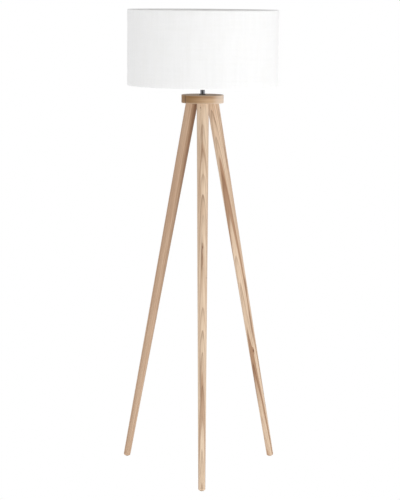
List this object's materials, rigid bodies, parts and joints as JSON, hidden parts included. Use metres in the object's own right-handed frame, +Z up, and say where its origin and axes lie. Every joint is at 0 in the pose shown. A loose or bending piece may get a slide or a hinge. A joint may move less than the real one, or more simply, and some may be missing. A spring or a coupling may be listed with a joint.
{
  "type": "tripod floor lamp",
  "caption": "Free-standing floor lamp with round tapered wooden legs under a round wooden collar, a short metal stem and a white fabric drum shade.",
  "frame": {"origin": "on the floor, at the middle of the lamp's bounding box in X and Y; the upright axis of collar, stem and shade stands 25.144 mm behind it, at X 0, Y 0.025144", "axes": "+Z up along the stem, -Y towards the front leg, +X to the right seen from the front"},
  "size_m": [0.5232, 0.5503, 1.5499],
  "materials": {
    "ash_wood": "satin oiled light ash with tan grain",
    "ash_band": "satin oiled light ash edge band",
    "felt": "brown felt",
    "zinc_steel": "bright zinc plate",
    "black_nickel": "polished dark nickel plate",
    "brass": "plain brass",
    "nickel": "nickel plate",
    "white_plastic": "white moulded plastic",
    "ceramic": "white insulator",
    "opal_glass": "opal white",
    "white_cloth": "plain-woven white cloth",
    "white_liner": "white stiff film",
    "white_wire": "white powder coat"
  },
  "bodies": {
    "stand": {"collar_core": "ash_wood", "collar_band": "ash_band", "leg_front": "ash_wood", "leg_right": "ash_wood", "leg_left": "ash_wood", "foot_pad_front": "felt", "foot_pad_right": "felt", "foot_pad_left": "felt", "hanger_bolt_front": "zinc_steel", "hanger_bolt_right": "zinc_steel", "hanger_bolt_left": "zinc_steel", "threaded_insert_front": "brass", "threaded_insert_right": "brass", "threaded_insert_left": "brass", "threaded_tube": "zinc_steel", "stem_sleeve": "black_nickel", "stem_flange": "black_nickel", "clamp_washer": "zinc_steel", "clamp_nut": "zinc_steel", "cord_bush": "white_plastic", "holder_cap": "white_plastic", "holder_skirt": "white_plastic", "holder_insulator": "ceramic", "screw_shell": "brass", "centre_contact": "brass", "terminal_live": "brass", "terminal_neutral": "brass", "terminal_screw_live": "brass", "terminal_screw_neutral": "brass", "shade_ring": "white_plastic"},
    "shade": {"shade_cover": "white_cloth", "shade_liner": "white_liner", "wire_ring_bottom": "white_wire", "wire_ring_top": "white_wire", "spider_hub": "white_wire", "spider_arm_1": "white_wire", "spider_arm_2": "white_wire", "spider_arm_3": "white_wire"},
    "bulb_foot": {"bulb_tip": "brass"},
    "bulb": {"bulb_cap": "nickel", "bulb_housing": "white_plastic", "bulb_globe": "opal_glass"}
  },
  "joints": [
    {"name": "shade_turn", "type": "hinge", "parent": "stand", "child": "shade", "pos_m": [0, 0.02514, 1.3411], "axis": [0, 0, 1], "continuous": true},
    {"name": "bulb_rise", "type": "slide", "parent": "stand", "child": "bulb_foot", "axis": [0, 0, 1], "range_m": [0, 0.0109]},
    {"name": "bulb_turn", "type": "hinge", "parent": "bulb_foot", "child": "bulb", "pos_m": [0, 0.02514, 1.34], "axis": [0, 0, 1], "range_deg": [0, 1080]}
  ],
  "couplings": [
    {"joint": "bulb_rise", "follows": "bulb_turn", "m_per_rad": 0.00057757}
  ]
}
